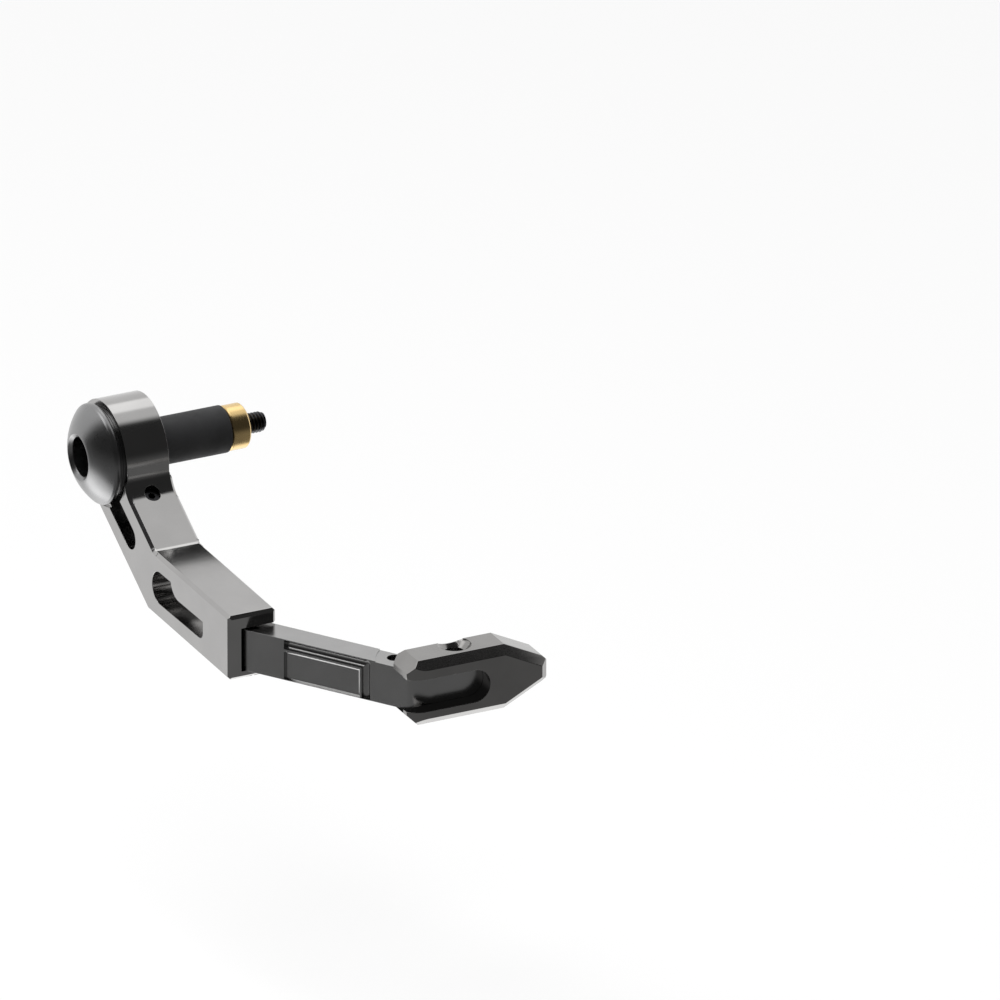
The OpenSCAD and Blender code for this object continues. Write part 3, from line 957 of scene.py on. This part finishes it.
@dataclass(frozen=True)
class Studio:
    """A pale floor under a soft room that is bright behind and above, and dimmer in front.

    The floor lies lower than the guard reaches at any angle of its swivel. The room's wall
    turns from dim to bright with a side value, which is a direction's y with a share of its
    height and of its x. Near the zenith the x has no part in it.
    """

    floor_z_mm: float = -142.02
    floor_size: float = 24.0
    floor_colour: Colour = (0.9, 0.9, 0.9)
    floor_glow: float = 0.72
    dim: float = 0.2
    dim_above: float = 0.04
    dim_heights: tuple[float, float] = (-0.35, 0.15)
    bright: float = 1.0
    height_share: float = 0.45
    x_share: float = 0.35
    zenith: tuple[float, float] = (0.62, 0.78)
    wall_edge: tuple[float, float] = (0.24, 0.5)
    boxes: tuple[SoftBox, ...] = (
        SoftBox((0.4, 0.5, 0.77), 0.955, 0.985, 0.75),
        SoftBox((-0.4, 0.29, 0.86), 0.92, 0.975, 1.1),
        SoftBox((-0.6, 0.3, -0.75), 0.89, 0.97, 1.6),
    )
    under_depths: tuple[float, float] = (0.6, 0.8)
    under_edge: tuple[float, float] = (0.3, 0.7)
    under_power: float = 0.6
    key_power: float = 9.0
    key_size: tuple[float, float] = (0.9, 0.6)
    key_place: Colour = (-0.35, -0.15, 1.0)
    key_target: Colour = (0.02, -0.06, -0.02)

    def floor(self) -> None:
        """Lays the floor. It shows from above only, and metal sees the room beyond it."""
        bpy.ops.object.select_all(action="DESELECT")
        bpy.ops.mesh.primitive_plane_add(
            size=self.floor_size, location=(0, 0, self.floor_z_mm * MM)
        )
        plane = bpy.context.object
        plane.name = "pale_floor"
        plane.visible_glossy = False
        made = bpy.data.materials.new("pale_floor")
        made.use_nodes = True
        bench = Bench(made.node_tree)
        seen = Signal(bench, bench.add("ShaderNodeLightPath").outputs["Is Camera Ray"])
        matt = bench.add("ShaderNodeBsdfDiffuse", None, {"Color": (*self.floor_colour, 1)})
        glow = bench.add("ShaderNodeEmission", None, {"Color": (1, 1, 1, 1), "Strength": 1.0})
        share = seen * self.floor_glow
        top = bench.add(
            "ShaderNodeMixShader", None, {0: share, 1: matt.outputs[0], 2: glow.outputs[0]}
        )
        under = bench.add("ShaderNodeNewGeometry").outputs["Backfacing"]
        clear = bench.add("ShaderNodeBsdfTransparent")
        both = bench.add(
            "ShaderNodeMixShader", None, {0: under, 1: top.outputs[0], 2: clear.outputs[0]}
        )
        out = bench.add("ShaderNodeOutputMaterial")
        made.node_tree.links.new(both.outputs[0], out.inputs["Surface"])
        plane.data.materials.append(made)
        plane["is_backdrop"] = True

    def room(self) -> None:
        """Sets the world: white to the camera, and a soft studio to everything else."""
        world = bpy.data.worlds.new("soft_studio")
        bpy.context.scene.world = world
        world.use_nodes = True
        bench = Bench(world.node_tree)
        x, y, z = bench.axes(bench.add("ShaderNodeTexCoord").outputs["Generated"])
        aside = x.at_least(z.ramp(*self.zenith) - 1.0)
        side = y + abs(z) * self.height_share + aside * self.x_share
        dim = z.ramp(*self.dim_heights) * (self.dim_above - self.dim) + self.dim
        level = side.ramp(*self.wall_edge) * (self.bright - dim) + dim
        for box in self.boxes:
            level = level + box.glow((x, y, z))
        under = (z * -1.0).ramp(*self.under_depths) * side.ramp(*self.under_edge)
        level = level + under * self.under_power
        path = bench.add("ShaderNodeLightPath").outputs["Is Camera Ray"]
        glow = bench.vector(level, level, level)
        shade = bench.blend(Signal(bench, path), glow, (1.0, 1.0, 1.0))
        back = bench.add("ShaderNodeBackground", None, {"Color": shade, "Strength": 1.0})
        out = bench.add("ShaderNodeOutputWorld")
        world.node_tree.links.new(back.outputs[0], out.inputs["Surface"])

    def lamps(self) -> None:
        """Hangs one large soft lamp above and behind, which gives the floor its shadow."""
        light = bpy.data.lights.new("key_panel", "AREA")
        light.shape = "RECTANGLE"
        light.size, light.size_y = self.key_size
        light.energy = self.key_power
        lamp = bpy.data.objects.new("key_panel", light)
        lamp.visible_glossy = False
        bpy.context.scene.collection.objects.link(lamp)
        lamp.location = self.key_place
        ray = Vector(self.key_target) - lamp.location
        lamp.rotation_mode = "QUATERNION"
        lamp.rotation_quaternion = ray.to_track_quat("-Z", "Y")

    def build(self) -> None:
        """Makes the whole studio."""
        self.floor()
        self.room()
        self.lamps()


@dataclass(frozen=True)
class Viewpoint:
    """A long lens at the photograph's angle, set from the view's own axes.

    The frame's middle lies along_mm and up_mm from origin_mm, and the frame is width_mm wide.
    """

    right: Colour = (0.8973, -0.4415, 0.0)
    back: Colour = (-0.4033, -0.8197, 0.4067)
    origin_mm: Colour = (-14.3, 0.0, 0.0)
    along_mm: float = 112.99
    up_mm: float = -13.38
    width_mm: float = 283.5
    distance: float = 11.0
    sensor_mm: float = 36.0
    clip: tuple[float, float] = (0.1, 60.0)

    def build(self) -> bpy.types.Object:
        """Makes the camera the scene's own.

        Returns:
            The camera.
        """
        data = bpy.data.cameras.new("long_lens")
        camera = bpy.data.objects.new("long_lens", data)
        bpy.context.scene.collection.objects.link(camera)
        back = Vector(self.back).normalized()
        right = Vector(self.right).normalized()
        up = back.cross(right).normalized()
        centre = Vector(self.origin_mm) * MM + right * (self.along_mm * MM) + up * (self.up_mm * MM)
        data.sensor_width = self.sensor_mm
        data.lens = self.sensor_mm * self.distance / (self.width_mm * MM)
        data.clip_start, data.clip_end = self.clip
        data.dof.use_dof = False
        turn = Matrix((right, up, back)).transposed().to_4x4()
        camera.matrix_world = Matrix.Translation(centre + back * self.distance) @ turn
        bpy.context.scene.camera = camera
        return camera


def main() -> None:
    """Builds the object's looks, the studio and the camera."""
    logging.basicConfig(level=logging.INFO, format="%(name)s: %(message)s")
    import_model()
    cad = [c.copy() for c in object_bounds()]
    bpy.context.scene.view_settings.view_transform = "Standard"
    Viewpoint().build()
    finishes = (ARM_GREY, LINK_GREY, TIP_GREY, DOME_GREY, BLACK_STEEL, BUNG_RUBBER, NUT_BRASS)
    paint = {finish.name: finish.material() for finish in finishes}
    for assembly in (BarEnd(), ClampArm(), LinkAndTip()):
        assembly.build(paint)
        for piece in assembly.made:
            faces = sum(len(p.vertices) - 2 for p in piece.data.polygons)
            LOG.info("%s rides on %s, %d triangles", piece.name, assembly.body, faces)
    Studio().build()


if __name__ == "__main__":
    main()
